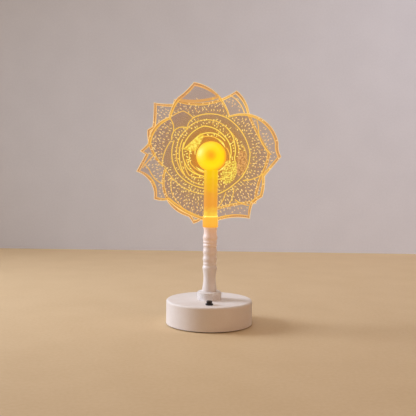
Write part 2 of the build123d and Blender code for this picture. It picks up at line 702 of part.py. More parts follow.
# Light bush: clear sleeve that both plates turn on, round the ring of lights
with BuildPart() as light_bush:
    hub_disc(flange_rear, hub_cap_front, light_bush_radius)
    hub_disc(flange_rear, hub_cap_front, light_bush_bore_radius, Mode.SUBTRACT)

with BuildPart() as hub_led_board:
    hub_disc(flange_rear, hub_board_rear, hub_board_radius)
    hub_disc(flange_rear, hub_board_rear, spindle_radius + spindle_clearance, Mode.SUBTRACT)

with BuildPart() as hub_led_chips:
    with BuildSketch(hub_plane(hub_board_rear + hub_chip_height)):
        with PolarLocations(hub_chip_circle_radius, hub_chip_count, start_angle=15):
            Rectangle(hub_chip_depth, hub_chip_width)
    extrude(amount=hub_chip_height)


def hub_washer(front, rear, outer_radius):
    """Washer on the light bush, between two depths."""
    hub_disc(front, rear, outer_radius)
    hub_disc(front, rear, light_bush_radius + washer_fit, Mode.SUBTRACT)


with BuildPart() as slip_washer:
    hub_washer(flange_rear, slip_washer_rear, hub_flange_radius)

with BuildPart() as plate_spacer:
    hub_washer(spacer_front, spacer_rear, hub_flange_radius)

with BuildPart() as wave_washer:
    hub_washer(wave_washer_front, hub_cap_front, hub_flange_radius)

# Hub cap: closes the stack, with a boss that clamps the ring of lights
with BuildPart() as hub_cap:
    hub_disc(hub_cap_front, hub_cap_rear, hub_cap_radius)
    fillet(hub_cap.edges().group_by(Axis.Y)[-1], hub_cap_round)
    hub_disc(hub_board_rear, hub_cap_front, hub_cap_boss_radius)
    hub_disc(hub_board_rear, hub_cap_rear, spindle_radius + spindle_clearance, Mode.SUBTRACT)
    with Locations((0, hub_lead_y, hub_height)):
        Cylinder(lead_window_radius, hub_cap_boss_radius + overrun, align=on_top, mode=Mode.SUBTRACT)

# Cap nut: domed nut on the end of the spindle
with BuildPart() as cap_nut:
    hub_disc(hub_cap_rear, spindle_rear + cap_nut_dome_height, cap_nut_dome_radius)
    fillet(cap_nut.edges().group_by(Axis.Y)[-1], cap_nut_dome_round)
    with BuildSketch(hub_plane(spindle_rear)):
        RegularPolygon(cap_nut_radius, 6)
    extrude(amount=cap_nut_height)
    hub_disc(hub_cap_rear, spindle_rear, spindle_radius + spindle_clearance, Mode.SUBTRACT)


def rose_plate(front, rear, corner_shares, line_shares, band_shares=()):
    """Clear plate with its border, petal lines and broad bands engraved in the front face."""
    blank = plate_face(corner_shares, 1)
    border = plate_face(corner_shares, border_outer_share) - plate_face(corner_shares, border_inner_share)
    lines = [engraved_line(shares, engraving_width) for shares in line_shares]
    bands = [engraved_line(shares, band_width) for shares in band_shares]
    with BuildPart() as plate:
        with BuildSketch(hub_plane(rear)):
            add(blank)
            Circle(plate_bore_radius, mode=Mode.SUBTRACT)
        extrude(amount=rear - front)
        with BuildSketch(hub_plane(front)):
            add(border)
            add(lines + bands)
        extrude(amount=-engraving_depth, mode=Mode.SUBTRACT)
    return plate


rose_plate_front = rose_plate(
    front_plate_front, front_plate_rear, front_plate_shares, front_line_shares, front_band_shares)
rose_plate_rear = rose_plate(rear_plate_front, rear_plate_rear, rear_plate_shares, rear_line_shares)

# Leads from the board up the column to the hub block
with BuildPart() as main_leads:
    for side in (-1, 1):
        x = side * lead_pair_spacing / 2
        y = board_front_y + main_lead_inset
        level = board_top + main_lead_rise
        lead_run([(x, y, board_top + lead_end_gap), (x, y, level), (x, 0, level), (x, 0, carrier_top)],
                 lead_radius, lead_bend_radius)

# Leads from the battery's rear edge to the board
with BuildPart() as battery_leads:
    for side in (-1, 1):
        x = side * battery_lead_spacing / 2
        y = board_front_y + battery_lead_inset
        level = battery_bottom + battery_lead_rise
        lead_run([(x, battery_centre_y + battery_width / 2 + lead_end_gap, level), (x, y, level),
                  (x, y, board_top + lead_end_gap)], lead_radius, thin_lead_bend_radius)

# Leads from the switch up its sides, over the battery and past the column nut to the board
with BuildPart() as switch_leads:
    for side in (-1, 1):
        terminal_x = side * switch_terminal_spacing / 2
        terminal_bottom = switch_body_bottom - switch_terminal_length - lead_end_gap
        low_level = terminal_bottom - switch_lead_drop
        high_level = battery_bottom + battery_thickness + switch_lead_rise
        outer_x = side * (column_nut_radius + switch_lead_side_gap + thin_lead_radius)
        board_y = board_rear_y - switch_lead_inset
        lead_run([(terminal_x, switch_y, terminal_bottom), (terminal_x, switch_y, low_level),
                  (outer_x, switch_y, low_level), (outer_x, switch_y, high_level),
                  (outer_x, board_y, high_level), (outer_x, board_y, board_top + lead_end_gap)],
                 thin_lead_radius, 2 * thin_lead_radius)

# Leads through the spindle to the ring of lights
with BuildPart() as hub_leads:
    for side in (-1, 1):
        x = side * thin_lead_pair_spacing / 2
        lead_run([(x, spindle_front, hub_height), (x, hub_lead_y, hub_height),
                  (x, hub_lead_y, hub_height + hub_lead_rise), (x, hub_board_rear + lead_end_gap,
                  hub_height + hub_lead_rise)], thin_lead_radius, thin_lead_bend_radius)

pieces = {
    "foot_pad": foot_pad,
    "base_plate": base_plate,
    "base_shell": base_shell,
    "base_screws": base_screws,
    "ballast_plate": ballast_plate,
    "ballast_screws": ballast_screws,
    "battery_tape": battery_tape,
    "battery_pack": battery_pack,
    "control_board": control_board,
    "board_screws": board_screws,
    "board_chips": board_chips,
    "usb_port": usb_port,
    "switch_housing": switch_housing,
    "switch_nut": switch_nut,
    "switch_terminals": switch_terminals,
    "power_button": power_button,
    "switch_spring": switch_spring,
    "column_collar": column_collar,
    "stem": stem,
    "threaded_tube": threaded_tube,
    "lock_washer": lock_washer,
    "column_nut": column_nut,
    "socket": socket,
    "socket_nut": socket_nut,
    "socket_ring": socket_ring,
    "light_tube": light_tube,
    "carrier_tube": carrier_tube,
    "tube_led_strips": tube_led_strips,
    "tube_led_chips": tube_led_chips,
    "globe": globe,
    "hub_block": hub_block,
    "globe_led_board": globe_led_board,
    "globe_led_chips": globe_led_chips,
    "hub_spindle": hub_spindle,
    "hub_flange": hub_flange,
    "light_bush": light_bush,
    "hub_led_board": hub_led_board,
    "hub_led_chips": hub_led_chips,
    "slip_washer": slip_washer,
    "plate_spacer": plate_spacer,
    "wave_washer": wave_washer,
    "hub_cap": hub_cap,
    "cap_nut": cap_nut,
    "rose_plate_front": rose_plate_front,
    "rose_plate_rear": rose_plate_rear,
    "main_leads": main_leads,
    "battery_leads": battery_leads,
    "switch_leads": switch_leads,
    "hub_leads": hub_leads,
}
for name, piece in pieces.items():
    piece.part.label = name
    export_step(piece.part, f"parts/{name}.step")
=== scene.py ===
import math
import random

import bmesh
import bpy
from mathutils import Matrix, Vector
from mathutils.bvhtree import BVHTree


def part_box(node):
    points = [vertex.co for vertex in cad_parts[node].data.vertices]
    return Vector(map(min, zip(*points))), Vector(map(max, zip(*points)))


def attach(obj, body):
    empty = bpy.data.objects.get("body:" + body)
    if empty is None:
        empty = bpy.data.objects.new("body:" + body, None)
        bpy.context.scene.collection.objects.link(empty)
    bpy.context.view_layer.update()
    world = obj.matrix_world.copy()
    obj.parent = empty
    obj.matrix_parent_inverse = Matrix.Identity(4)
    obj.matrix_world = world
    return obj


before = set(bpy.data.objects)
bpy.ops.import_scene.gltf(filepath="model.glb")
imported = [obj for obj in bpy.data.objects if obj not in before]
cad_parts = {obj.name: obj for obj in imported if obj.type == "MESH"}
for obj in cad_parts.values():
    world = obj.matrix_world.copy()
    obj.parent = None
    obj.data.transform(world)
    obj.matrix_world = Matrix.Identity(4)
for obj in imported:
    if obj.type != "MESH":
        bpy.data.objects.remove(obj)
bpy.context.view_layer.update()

# Camera: stands in front of the lamp a little below its globe's height, with a lens of about 60 mm,
# tipped a little down and rolled by less than a degree.
mm = 0.001
camera_distance = 829 * mm
camera_height = 189.5 * mm
camera_side = -3.1 * mm
camera_tilt = math.radians(3.4)
camera_roll = math.radians(0.8)
camera_lens = 59.7
camera_sensor = 36
camera_data = bpy.data.cameras.new("lamp_camera")
camera_data.lens = camera_lens
camera_data.sensor_width = camera_sensor
camera = bpy.data.objects.new("lamp_camera", camera_data)
bpy.context.scene.collection.objects.link(camera)
camera.matrix_world = (
    Matrix.Translation((camera_side, -camera_distance, camera_height))
    @ Matrix.Rotation(math.pi / 2 - camera_tilt, 4, "X")
    @ Matrix.Rotation(camera_roll, 4, "Z")
)
bpy.context.scene.camera = camera
bpy.context.scene.view_settings.view_transform = "Standard"

# Floor and backdrop: a pale warm card below and a pale grey one behind. A soft lamp stands low on the
# left and a little behind, a broad one overhead, a warm one in front on the right, and one is aimed
# at the backdrop, under a dim sky.
floor_reach = 2.4
wall_distance = 0.72
floor_colours = ("#DABE94", "#D4B78C")
wall_colours = ("#DFE2EA", "#DADDE5")
card_grain = 4 * mm
card_roughness = (0.6, 0.7)
card_relief = 0.02 * mm
sky_colour = "#E4CDB9"
sky_strength = 0.2
# The broad drift in a finish is about 17 times as wide as its grain, and the sum of both runs between
# these limits.
broad_share = 0.06
drift_low, drift_high = 0.7, 1.3


def linear(hex_text):
    """An sRGB hex value as linear red, green, blue and alpha."""
    channels = [int(hex_text[start:start + 2], 16) / 255 for start in (1, 3, 5)]
    return [*(c / 12.92 if c <= 0.04045 else ((c + 0.055) / 1.055) ** 2.4 for c in channels), 1.0]


def add(tree, kind, inputs=None, **settings):
    """Adds a shader node with its settings, and links or fills the inputs that are named."""
    made = tree.nodes.new("ShaderNode" + kind)
    for name, value in settings.items():
        setattr(made, name, value)
    for name, value in (inputs or {}).items():
        if isinstance(value, bpy.types.NodeSocket):
            tree.links.new(value, made.inputs[name])
        else:
            made.inputs[name].default_value = value
    return made


def grained_finish(name, colours, grain, roughness, relief, **even):
    """Finish whose colour and roughness drift between two values, over grains of a real size."""
    material = bpy.data.materials.new(name)
    material.use_nodes = True
    tree = material.node_tree
    tree.nodes.clear()
    place = add(tree, "TexCoord").outputs["Object"]
    fine = add(tree, "TexNoise", {"Vector": place, "Scale": 1 / grain, "Detail": 3.0}).outputs["Fac"]
    broad = add(tree, "TexNoise", {"Vector": place, "Scale": broad_share / grain, "Detail": 2.0})
    both = add(tree, "Math", {0: fine, 1: broad.outputs["Fac"]}, operation="ADD").outputs[0]
    drift = add(tree, "MapRange", {"Value": both, "From Min": drift_low, "From Max": drift_high}).outputs[0]
    tone = add(tree, "Mix", {"Factor": drift, 6: linear(colours[0]), 7: linear(colours[1])}, data_type="RGBA")
    rough = add(tree, "MapRange", {"Value": fine, "To Min": roughness[0], "To Max": roughness[1]})
    raised = add(tree, "Bump", {"Height": fine, "Distance": relief, "Strength": 1.0})
    shader = add(tree, "BsdfPrincipled", {
        "Base Color": tone.outputs[2], "Roughness": rough.outputs[0], "Normal": raised.outputs[0],
        **{socket.replace("_", " "): value for socket, value in even.items()}})
    add(tree, "OutputMaterial", {"Surface": shader.outputs[0]})
    return material


def card(name, corners, colours):
    """One flat sheet of the stage."""
    bm = bmesh.new()
    bm.faces.new([bm.verts.new(corner) for corner in corners])
    mesh = bpy.data.meshes.new(name)
    bm.to_mesh(mesh)
    bm.free()
    sheet = bpy.data.objects.new(name, mesh)
    bpy.context.scene.collection.objects.link(sheet)
    mesh.materials.append(grained_finish(name + "_card", colours, card_grain, card_roughness, card_relief))


card("floor", [(-floor_reach, -floor_reach, 0), (floor_reach, -floor_reach, 0),
               (floor_reach, wall_distance, 0), (-floor_reach, wall_distance, 0)], floor_colours)
card("wall", [(-floor_reach, wall_distance, 0), (floor_reach, wall_distance, 0),
              (floor_reach, wall_distance, floor_reach), (-floor_reach, wall_distance, floor_reach)],
     wall_colours)


def soft_lamp(name, place, target, size, power, colour, spread=180):
    """Square soft lamp that looks at a point, with its beam held to a spread in degrees."""
    data = bpy.data.lights.new(name, "AREA")
    data.size = size
    data.spread = math.radians(spread)
    data.energy = power
    data.color = linear(colour)[:3]
    lamp = bpy.data.objects.new(name, data)
    bpy.context.scene.collection.objects.link(lamp)
    aim = (Vector(target) - Vector(place)).to_track_quat("-Z", "Y")
    lamp.matrix_world = Matrix.Translation(place) @ aim.to_matrix().to_4x4()


soft_lamp("window_light", place=(-1.15, 0.22, 0.6), target=(0, 0, 0.12), size=0.55, power=4.4,
          colour="#E2ECFF", spread=90)
soft_lamp("room_light", place=(0.8, -1.1, 0.5), target=(0, 0, 0.12), size=0.9, power=2.6, colour="#FFBC87")
soft_lamp("wall_light", place=(1.1, -0.2, 1.1), target=(0.55, wall_distance, 0.35), size=0.8, power=1.85,
          colour="#F2F2FF", spread=76)
soft_lamp("ceiling_light", place=(-0.2, -0.1, 1.7), target=(0, 0, 0), size=1.6, power=10, colour="#FFF5ED")
world = bpy.data.worlds.new("studio")
world.use_nodes = True
world.node_tree.nodes["Background"].inputs["Color"].default_value = linear(sky_colour)
world.node_tree.nodes["Background"].inputs["Strength"].default_value = sky_strength
bpy.context.scene.world = world

# Foot pad and base plate: a die-cut sheet of black rubber glued under a moulded black disc that
# closes the base, with four countersunk steel screws through it.


def dress(material, *names):
    """Gives CAD nodes a finish through their objects' material slots."""
    for name in names:
        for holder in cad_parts[name].material_slots:
            holder.link = "OBJECT"
            holder.material = material


# Sheet rubber, calendered: nearly black, dead matt, with a felt-like surface of 0.9 mm pores.
dress(grained_finish("sheet_rubber_calendered", ("#1C1816", "#2B2623"), grain=0.9 * mm,
                     roughness=(0.78, 0.92), relief=0.06 * mm), "foot_pad")

# ABS, injection moulded: deep brown-black with a satin skin that takes a soft grey sheen.
black_abs = grained_finish("abs_black_moulded", ("#120D0A", "#231A15"), grain=0.7 * mm,
                           roughness=(0.3, 0.45), relief=0.02 * mm)
dress(black_abs, "base_plate")

# The marks that a tool or a roll leaves in metal are drawn 50 times as long as they are wide.
mark_share = 0.02
mark_relief = 0.02 * mm


def turned_metal(name, colours, groove, roughness, axis, **even):
    """Turned or sheared metal: fine tool marks that run round or across one axis."""
    material = bpy.data.materials.new(name)
    material.use_nodes = True
    tree = material.node_tree
    tree.nodes.clear()
    place = add(tree, "TexCoord").outputs["Object"]
    pull = [mark_share / groove] * 3
    pull["XYZ".index(axis)] = 1 / groove
    stretched = add(tree, "Mapping", {"Vector": place, "Scale": pull}).outputs[0]
    marks = add(tree, "TexNoise", {"Vector": stretched, "Scale": 1.0, "Detail": 3.0}).outputs["Fac"]
    tone = add(tree, "Mix", {"Factor": marks, 6: linear(colours[0]), 7: linear(colours[1])}, data_type="RGBA")
    rough = add(tree, "MapRange", {"Value": marks, "To Min": roughness[0], "To Max": roughness[1]})
    raised = add(tree, "Bump", {"Height": marks, "Distance": mark_relief, "Strength": 0.6})
    shader = add(tree, "BsdfPrincipled", {
        "Base Color": tone.outputs[2], "Roughness": rough.outputs[0], "Normal": raised.outputs[0],
        "Metallic": 1.0, **{socket.replace("_", " "): value for socket, value in even.items()}})
    add(tree, "OutputMaterial", {"Surface": shader.outputs[0]})
    return material


# Steel, turned and zinc plated: cool bright grey with tool marks every half millimetre.
plated_steel = turned_metal("steel_zinc_plated", ("#A9ABAE", "#C7C9CB"), groove=0.5 * mm,
                            roughness=(0.25, 0.42), axis="Z")
dress(plated_steel, "base_screws")

# Ballast: a sheared and drilled steel disc that keeps the lamp upright, held on the base plate by
# three screws, as rolled and with a dull oil-dark skin.
dress(turned_metal("steel_hot_rolled", ("#55565A", "#74757A"), groove=0.9 * mm, roughness=(0.45, 0.65),
                   axis="X"), "ballast_plate")
dress(plated_steel, "ballast_screws")

# Battery: a flat lithium pouch in aluminium laminate, stuck on the ballast with white foam tape.
# The foil is crinkled at 3 mm and dull silver, and the tape is closed-cell foam with 0.5 mm cells.
dress(grained_finish("foil_laminate_crinkled", ("#A7ACB1", "#C3C7CA"), grain=3 * mm, roughness=(0.28, 0.42),
                     relief=0.25 * mm, Metallic=0.8), "battery_pack")
dress(grained_finish("foam_tape_closed_cell", ("#DCD9D0", "#C9C5BA"), grain=0.5 * mm, roughness=(0.8, 0.9),
                     relief=0.1 * mm), "battery_tape")

# Control board: glass-fibre board with green solder mask on four standoffs, its moulded chips, and
# the steel shell of the charging inlet that looks out at the back of the base.
# Solder mask, screen printed: glossy green in which the 0.8 mm weave of the glass cloth shows.
dress(grained_finish("solder_mask_green", ("#0E4A2C", "#17603A"), grain=0.8 * mm, roughness=(0.22, 0.34),
                     relief=0.02 * mm), "control_board")
# Epoxy, transfer moulded: charcoal packages with a slightly sandy matt skin.
dress(grained_finish("epoxy_package_moulded", ("#1D1D1F", "#2C2C2F"), grain=0.4 * mm, roughness=(0.5, 0.65),
                     relief=0.02 * mm), "board_chips")
dress(plated_steel, "board_screws", "usb_port")

# Base housing: a round cover moulded in off-white ABS that drops over the plate and is screwed to it
# from below. Its top edge is softly rounded, and its rear wall has the slot for the charging inlet.
# ABS, spark-eroded mould: warm off-white, even and matt, with a 0.25 mm pitting drawn 1.1 mm wide so
# that it shows at all.
dress(grained_finish("abs_off_white_spark_eroded", ("#F0E8E1", "#EADFD6"), grain=1.1 * mm,
                     roughness=(0.5, 0.62), relief=0.025 * mm), "base_shell")

# Push switch: a black threaded body that is pushed through the housing from above, clamped by a
# steel nut, with brass terminals, a return spring and the black button cap that moves.
dress(black_abs, "switch_housing", "power_button")
dress(plated_steel, "switch_nut")
# Music wire, drawn: brighter than the plated parts, with marks along the wire.
spring_wire = turned_metal("spring_wire_drawn", ("#9C9DA1", "#D5D6D8"), groove=0.6 * mm,
                           roughness=(0.2, 0.3), axis="Z")
dress(spring_wire, "switch_spring")
# Brass, turned: soft yellow metal, slightly browned, with fine rings left by the tool.
turned_brass = turned_metal("brass_turned", ("#B98A45", "#D9B26A"), groove=0.5 * mm, roughness=(0.22, 0.38),
                            axis="Z")
dress(turned_brass, "switch_terminals")

# Column: a short collar on the base and a turned stem above it, both aluminium with an off-white
# powder coat, clamped by a steel tube with a washer and nut inside the base.
# The socket's amber light down the stem is painted on as a glow, strongest at its top.
stem_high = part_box("stem")[1][2]
painted_socket_glow = [(0.0, "#140C08"), (0.45, "#56331F"), (0.75, "#84502E"), (1.0, "#A8683A")]
painted_socket_glow_strength = 0.6
painted_socket_glow_reach = 52 * mm


def coated_column_with_painted_glow(name, colours, grain, roughness, relief):
    """Powder coat with the amber light of the socket painted on its upper part as a glow."""
    material = grained_finish(name, colours, grain, roughness, relief)
    tree = material.node_tree
    shader = tree.nodes["Principled BSDF"]
    place = add(tree, "TexCoord").outputs["Object"]
    height = add(tree, "SeparateXYZ", {0: place}).outputs["Z"]
    lit = add(tree, "MapRange", {"Value": height, "From Min": stem_high - painted_socket_glow_reach,
                                 "From Max": stem_high})
    amber = add(tree, "ValToRGB", {"Fac": lit.outputs[0]})
    amber.color_ramp.elements[0].color = linear(painted_socket_glow[0][1])
    amber.color_ramp.elements[1].color = linear(painted_socket_glow[-1][1])
    for position, colour in painted_socket_glow[1:-1]:
        amber.color_ramp.elements.new(position).color = linear(colour)
    tree.links.new(amber.outputs[0], shader.inputs["Emission Color"])
    shader.inputs["Emission Strength"].default_value = painted_socket_glow_strength
    return material


# Powder coat, baked: off-white, smooth and eggshell, with the light orange peel of the coat drawn
# 1.4 mm wide, and the socket's light painted on the stem's upper part as a glow.
dress(coated_column_with_painted_glow("powder_coat_off_white_painted_glow", ("#F6EDE6", "#EFE5DD"), grain=1.4 * mm, roughness=(0.3, 0.42),
                    relief=0.03 * mm), "stem")
# The collar's coat is rougher: a faint mottle of white and greyer grains about 1.2 mm wide.
dress(grained_finish("powder_coat_mottled", ("#FFFDFB", "#D8CCC3"), grain=1.2 * mm, roughness=(0.5, 0.7),
                     relief=0.05 * mm), "column_collar")
dress(plated_steel, "threaded_tube", "column_nut")
dress(spring_wire, "lock_washer")

# Socket: a ferrule moulded in amber polycarbonate on top of the stem, with a brass nut inside and a
# clear amber ring on its top edge that gathers the light into one bright line.
# Clouds in the plastic shift its glow up or down by up to half of this share of its height.
cloud_shift = 0.3


def glowing_amber(name, low, high, colours, strength, grain, skin, **even):
    """Amber plastic lit from inside: its glow runs through colours from low down to high up."""
    material = bpy.data.materials.new(name)
    material.use_nodes = True
    tree = material.node_tree
    tree.nodes.clear()
    place = add(tree, "TexCoord").outputs["Object"]
    height = add(tree, "SeparateXYZ", {0: place}).outputs["Z"]
    cloud = add(tree, "TexNoise", {"Vector": place, "Scale": 1 / grain, "Detail": 2.0}).outputs["Fac"]
    rise = add(tree, "MapRange", {"Value": height, "From Min": low, "From Max": high}).outputs[0]
    shifted = add(tree, "Math", {0: cloud, 1: cloud_shift, 2: -cloud_shift / 2}, operation="MULTIPLY_ADD")
    uneven = add(tree, "Math", {0: rise, 1: shifted.outputs[0]}, operation="ADD", use_clamp=True).outputs[0]
    ramp = add(tree, "ValToRGB", {"Fac": uneven})
    ramp.color_ramp.elements[0].color = linear(colours[0])
    ramp.color_ramp.elements[1].color = linear(colours[-1])
    for index, colour in enumerate(colours[1:-1], 1):
        ramp.color_ramp.elements.new(index / (len(colours) - 1)).color = linear(colour)
    shader = add(tree, "BsdfPrincipled", {
        "Base Color": linear(skin), "Roughness": 0.3, "Emission Color": ramp.outputs[0],
        "Emission Strength": strength,
        **{socket.replace("_", " "): value for socket, value in even.items()}})
    add(tree, "OutputMaterial", {"Surface": shader.outputs[0]})
    return material


# Polycarbonate, moulded translucent: deep amber skin, glowing orange below and yellower above.
socket_low, socket_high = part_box("socket")
dress(glowing_amber("polycarbonate_amber_lit", socket_low[2], socket_high[2],
                    ("#F0A034", "#FCB83E", "#FDBE40"), strength=0.97, grain=3 * mm, skin="#5A2E08",
                    Coat_Weight=0.4), "socket")
dress(turned_brass, "socket_nut")
# The ring is clear and glossy, and so bright that it looks pale yellow.
ring_low, ring_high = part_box("socket_ring")
dress(glowing_amber("polycarbonate_clear_amber_lit", ring_low[2], ring_high[2], ("#FFDC4E", "#FFEE72"),
                    strength=1.15, grain=3 * mm, skin="#6A4A10", Coat_Weight=0.6), "socket_ring")

# Light tube: an extruded amber acrylic tube over a thin brass carrier with two strips of light
# chips. The glow is yellow just above the socket, orange over the lower half, and turns yellow again
# towards the globe.
# Solder mask, screen printed in white: even, glossy and slightly warm.
strip_white = grained_finish("solder_mask_white", ("#E9E6DF", "#DAD6CC"), grain=0.8 * mm,
                             roughness=(0.25, 0.4), relief=0.01 * mm)
dress(strip_white, "tube_led_strips")
# Phosphor in clear resin: a warm yellow dot under gloss that glows by itself.
lit_phosphor = grained_finish("phosphor_in_resin", ("#FFE08A", "#F4C95A"), grain=0.5 * mm,
                              roughness=(0.1, 0.2), relief=0.005 * mm,
                              Emission_Color=linear("#FFD56A"), Emission_Strength=1.4)
dress(lit_phosphor, "tube_led_chips")
dress(turned_brass, "carrier_tube")
tube_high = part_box("light_tube")[1]
# Acrylic, extruded and frosted inside: deep amber with bands of glow that drift every 6 mm.
dress(glowing_amber("acrylic_amber_extruded", ring_high[2], tube_high[2],
                    ("#FFD648", "#F2A238", "#F2A535", "#F6B722", "#FAC614", "#FFD10A"), strength=0.97,
                    grain=6 * mm, skin="#2E1503", Coat_Weight=0.5), "light_tube")

# Globe: a hollow ball moulded in amber acrylic that fits over the brass cross block on the tube. A
# small board inside lights it, and its middle is painted a darker orange as the shade of the block.
dress(turned_brass, "hub_block")
dress(strip_white, "globe_led_board")
dress(lit_phosphor, "globe_led_chips")
globe_low, globe_high = (Vector(corner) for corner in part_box("globe"))
globe_centre = (globe_low + globe_high) / 2
globe_radius = (globe_high.x - globe_low.x) / 2
# The glow changes from the middle to the rim, unevenly in clouds 7 mm wide. Its orange middle is painted
# shade of the block, and its orange rim is painted shade that comes a little sooner on the right.
globe_glow_and_painted_shade_stops = [(0.0, "#FCA61C"), (0.14, "#FDAE18"), (0.3, "#FCC60A"), (0.44, "#FBDC02"), (0.66, "#FDE400"),
               (0.86, "#FCD802"), (1.0, "#F9A41C")]
globe_glow_reach = 1.12 * globe_radius
globe_cloud = 7 * mm
globe_ripple = 2.4 * mm
painted_shade_lean = 0.07


def globe_glow():
    """Moulded acrylic, satin: pure yellow, with painted shade in an orange middle and an orange rim."""
    material = bpy.data.materials.new("acrylic_amber_globe")
    material.use_nodes = True
    tree = material.node_tree
    tree.nodes.clear()
    place = add(tree, "TexCoord").outputs["Object"]
    centred = add(tree, "VectorMath", {0: place, 1: globe_centre}, operation="SUBTRACT").outputs[0]
    across = add(tree, "VectorMath", {0: centred, 1: (1, 0, 1)}, operation="MULTIPLY").outputs[0]
    distance = add(tree, "VectorMath", {0: across}, operation="LENGTH").outputs["Value"]
    cloud = add(tree, "TexNoise", {"Vector": place, "Scale": 1 / globe_cloud, "Detail": 2.0}).outputs["Fac"]
    ripple = add(tree, "Math", {0: cloud, 1: globe_ripple, 2: distance}, operation="MULTIPLY_ADD").outputs[0]
    side = add(tree, "SeparateXYZ", {0: centred}).outputs["X"]
    leaning = add(tree, "Math", {0: side, 1: painted_shade_lean, 2: ripple}, operation="MULTIPLY_ADD").outputs[0]
    share = add(tree, "MapRange", {"Value": leaning, "From Min": 0.0, "From Max": globe_glow_reach})
    ramp = add(tree, "ValToRGB", {"Fac": share.outputs[0]})
    ramp.color_ramp.elements[0].color = linear(globe_glow_and_painted_shade_stops[0][1])
    ramp.color_ramp.elements[1].color = linear(globe_glow_and_painted_shade_stops[-1][1])
    for position, colour in globe_glow_and_painted_shade_stops[1:-1]:
        ramp.color_ramp.elements.new(position).color = linear(colour)
    shader = add(tree, "BsdfPrincipled", {
        "Base Color": linear("#4A2E02"), "Roughness": 0.5, "Specular IOR Level": 0.2, "Coat Weight": 1.0,
        "Coat Roughness": 0.6, "Coat Tint": linear("#FFF9EA"), "Emission Color": ramp.outputs[0],
        "Emission Strength": 1.06})
    add(tree, "OutputMaterial", {"Surface": shader.outputs[0]})
    return material


dress(globe_glow(), "globe")

# Hub: behind the globe a brass spindle and flange carry a moulded clear bush, in which a ring of
# light chips shines outwards into the bores of both rose plates.
hub_brass = turned_metal("brass_turned_hub", ("#B98A45", "#D9B26A"), groove=0.5 * mm, roughness=(0.2, 0.34),
                         axis="Y")
dress(hub_brass, "hub_spindle", "hub_flange", "cap_nut")
dress(strip_white, "hub_led_board")
dress(lit_phosphor, "hub_led_chips")
# Acrylic, moulded clear: bright amber because the ring of lights stands right behind it.
dress(glowing_amber("acrylic_clear_bush_lit", globe_low.z, globe_high.z, ("#FFC845", "#FFDF66"), strength=0.9,
                    grain=2 * mm, skin="#8A6420", Coat_Weight=0.8), "light_bush", "plate_spacer")
# Fibre, pressed: pale brown card with a paper-like nap 1 mm long.
dress(grained_finish("fibre_pressed", ("#C4AE8C", "#A98F6B"), grain=1.0 * mm, roughness=(0.75, 0.9),
                     relief=0.06 * mm), "slip_washer")
# Spring steel, pressed: bare grey, with the marks of the rolled strip.
dress(turned_metal("spring_steel_pressed", ("#8E9094", "#BDBFC2"), groove=0.6 * mm, roughness=(0.28, 0.4),
                   axis="Y"), "wave_washer")
# Powder coat, baked: the column's off-white, a little duller.
dress(grained_finish("powder_coat_hub_cap", ("#F4EBE4", "#EAE0D8"), grain=1.4 * mm, roughness=(0.34, 0.46),
                     relief=0.03 * mm), "hub_cap")

# Rose plates: two sheets of clear acrylic, laser cut to a rose outline, with their border, petals
# and folds engraved in the front face. Light from the bore runs inside the sheet and comes out only
# at the cut edge, the engraved lines and the stippling, which all glow amber.
hub_axis = Vector((0, 0, globe_centre.z))
# Colours change with the distance from the hub's axis, up to 100 mm, in clouds 9 mm wide that shift
# them outwards or inwards by up to 7 mm.
ramp_end = 100
hub_cloud = 9 * mm
hub_ripple = 14 * mm
sheet_smear = 20 * mm
# Near the hub the sheet's tint and haze are painted amber as the hub's light; further out the tint is the
# sheet's own rosy one.
sheet_tint_and_painted_glow = [(18, "#E2B878"), (30, "#E4C698"), (48, "#E6D5BE"), (64, "#E6D8CC"), (84, "#EBDCD2")]
painted_hub_haze = [(16, "#664C1C"), (26, "#4E3A1A"), (45, "#3E2E18"), (64, "#35271A"), (90, "#1C140E")]


def hub_ramp(tree, stops):
    """Colour that depends on the distance from the hub's axis, with the stops given in millimetres."""
    place = add(tree, "TexCoord").outputs["Object"]
    centred = add(tree, "VectorMath", {0: place, 1: hub_axis}, operation="SUBTRACT").outputs[0]
    across = add(tree, "VectorMath", {0: centred, 1: (1, 0, 1)}, operation="MULTIPLY").outputs[0]
    distance = add(tree, "VectorMath", {0: across}, operation="LENGTH").outputs["Value"]
    cloud = add(tree, "TexNoise", {"Vector": place, "Scale": 1 / hub_cloud, "Detail": 2.0}).outputs["Fac"]
    uneven = add(tree, "Math", {0: cloud, 1: hub_ripple, 2: -hub_ripple / 2}, operation="MULTIPLY_ADD")
    reach = add(tree, "Math", {0: distance, 1: uneven.outputs[0]}, operation="ADD").outputs[0]
    share = add(tree, "MapRange", {"Value": reach, "From Min": 0.0, "From Max": ramp_end * mm}).outputs[0]
    ramp = add(tree, "ValToRGB", {"Fac": share})
    ramp.color_ramp.elements[0].color = linear(stops[0][1])
    ramp.color_ramp.elements[0].position = stops[0][0] / ramp_end
    ramp.color_ramp.elements[1].color = linear(stops[-1][1])
    ramp.color_ramp.elements[1].position = stops[-1][0] / ramp_end
    for millimetres, colour in stops[1:-1]:
        ramp.color_ramp.elements.new(millimetres / ramp_end).color = linear(colour)
    return ramp.outputs[0]


